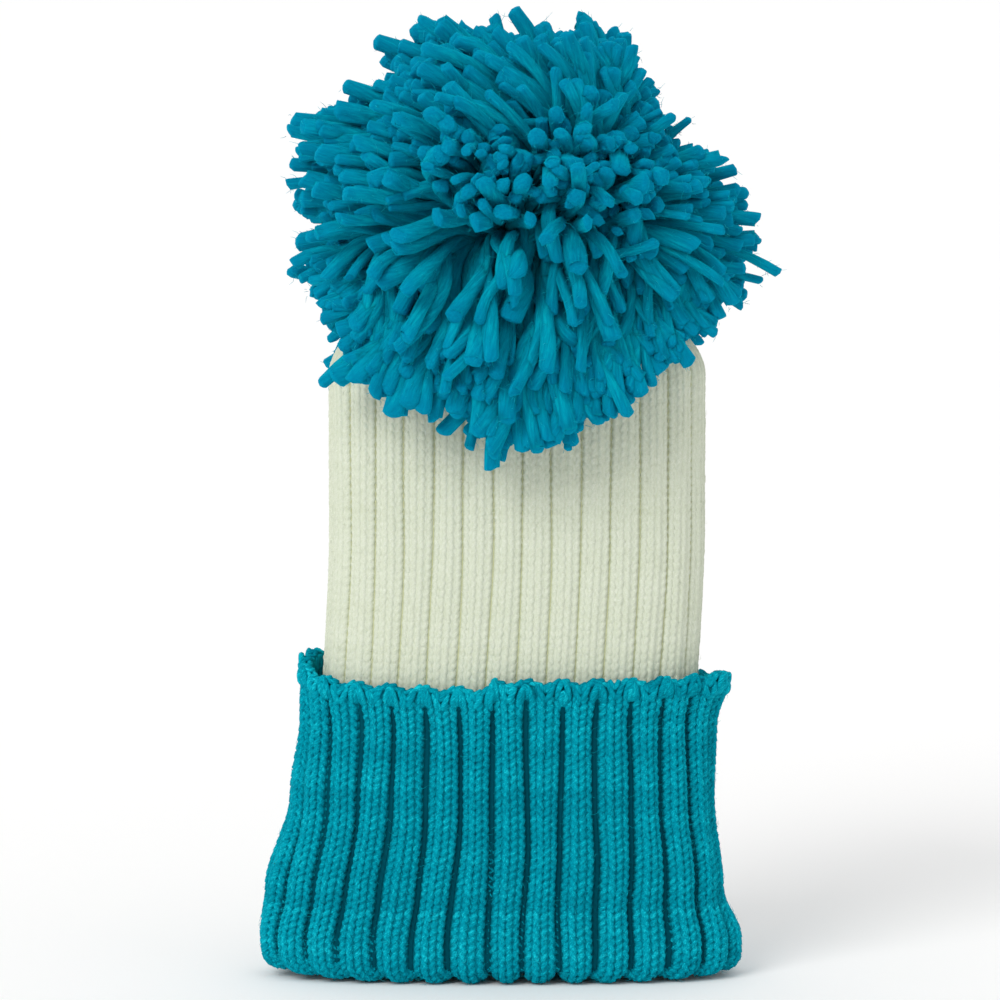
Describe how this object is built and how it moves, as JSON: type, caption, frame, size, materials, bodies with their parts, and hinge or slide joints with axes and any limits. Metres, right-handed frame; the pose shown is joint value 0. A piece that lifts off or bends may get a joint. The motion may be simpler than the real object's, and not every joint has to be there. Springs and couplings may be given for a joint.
{
  "type": "driver head cover",
  "caption": "Knitted rib head cover for a golf driver: a flattened tube gathered at the crown, with a turned-up cuff and a yarn pom-pom tied on top.",
  "frame": {"origin": "centre of the mouth, level with the bottom of the cuff's fold", "axes": "+Z along the cover from its mouth to its pom-pom, +X across its width, -Y its front"},
  "size_m": [0.1718, 0.1453, 0.3312],
  "materials": {
    "cream_knit": "soft rib knit in off-white acrylic yarn",
    "teal_knit": "rib knit in turquoise acrylic yarn",
    "teal_edge_yarn": "cast-off chain in turquoise acrylic yarn",
    "cream_seam_yarn": "off-white sewing yarn",
    "teal_seam_yarn": "turquoise sewing yarn",
    "gather_yarn": "off-white gathering yarn",
    "pom_yarn": "bulky, barely twisted turquoise roving, cut ends",
    "tie_yarn": "turquoise tying yarn",
    "tail_yarn": "turquoise tying yarn, twisted"
  },
  "bodies": {
    "cover": {"body_tube": "cream_knit", "turned_up_cuff": "teal_knit", "cast_off_chain": "teal_edge_yarn", "body_seam_yarn": "cream_seam_yarn", "cuff_seam_yarn": "teal_seam_yarn", "crown_gather_yarn": "gather_yarn", "crown_gather_knot": "gather_yarn"},
    "tie_tails": {"pom_tie_tails": "tail_yarn", "pom_anchor_knot": "tail_yarn"},
    "pom": {"pom_strands": "pom_yarn", "pom_tie": "tie_yarn", "pom_tie_knot": "tie_yarn"}
  },
  "joints": [
    {"name": "pom_nod", "type": "hinge", "parent": "cover", "child": "tie_tails", "pos_m": [0, 0, 0.232], "axis": [1, 0, 0], "range_deg": [-12, 12], "stiffness_Nm_per_rad": 0.12},
    {"name": "pom_sway", "type": "hinge", "parent": "tie_tails", "child": "pom", "pos_m": [0, 0, 0.2395], "axis": [0, 1, 0], "range_deg": [-15, 15], "stiffness_Nm_per_rad": 0.12}
  ]
}
